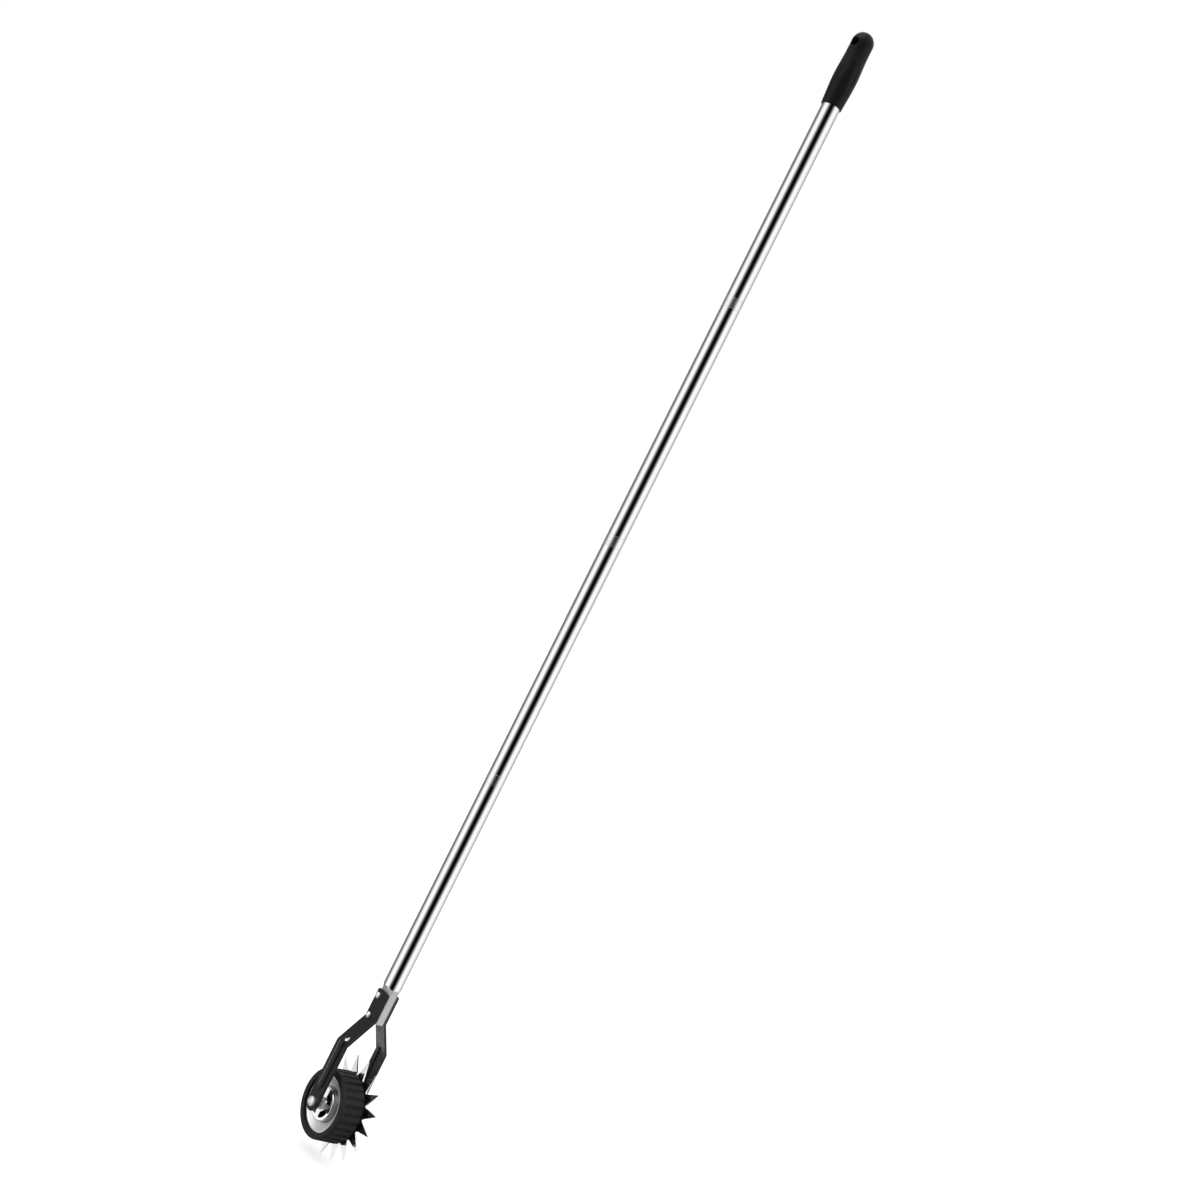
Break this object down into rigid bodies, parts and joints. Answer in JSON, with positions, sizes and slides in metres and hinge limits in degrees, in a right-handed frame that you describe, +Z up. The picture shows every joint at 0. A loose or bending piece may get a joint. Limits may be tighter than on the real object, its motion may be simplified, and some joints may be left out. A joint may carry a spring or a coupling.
{
  "type": "rotary lawn edger",
  "caption": "Long-handled rotary lawn edger: sectional steel tube handle with a fluted grip, a two-armed fork, and a rubber-tyred wheel carrying a toothed star cutter.",
  "frame": {"origin": "centre of the hanging hole through the grip", "axes": "+Z up along the handle, Y along the axle with the star cutter on the +Y side, X along the rolling direction"},
  "size_m": [0.1186, 0.0729, 1.4123],
  "materials": {
    "grip_plastic": "satin",
    "tube_steel": "polished",
    "collar_steel": "satin",
    "black_paint": "satin",
    "bright_zinc": "bright",
    "rim_chrome": "polished",
    "bush_plastic": "satin",
    "tyre_rubber": "matte",
    "star_steel": "polished"
  },
  "bodies": {
    "handle": {"grip": "grip_plastic", "tube_upper": "tube_steel", "tube_mid_upper": "tube_steel", "tube_mid_lower": "tube_steel", "tube_foot": "tube_steel", "joint_stud_1": "collar_steel", "joint_stud_2": "collar_steel", "joint_stud_3": "collar_steel", "socket_1": "collar_steel", "socket_2": "collar_steel", "socket_3": "collar_steel", "fork_arm_left": "black_paint", "fork_arm_right": "black_paint", "clamp_bolts": "bright_zinc", "clamp_nuts": "bright_zinc", "axle_bolt": "bright_zinc", "axle_washer": "bright_zinc", "axle_nut": "bright_zinc", "axle_sleeve": "bright_zinc", "spacer_left": "bright_zinc", "spacer_right": "bright_zinc"},
    "wheel": {"wheel_rim": "rim_chrome", "hub_bush_left": "bush_plastic", "hub_bush_right": "bush_plastic", "tyre": "tyre_rubber", "star_cutter": "star_steel", "star_screws": "bright_zinc"}
  },
  "joints": [
    {"name": "wheel_spin", "type": "hinge", "parent": "handle", "child": "wheel", "pos_m": [0, 0, -1.336], "axis": [0, 1, 0], "continuous": true}
  ]
}
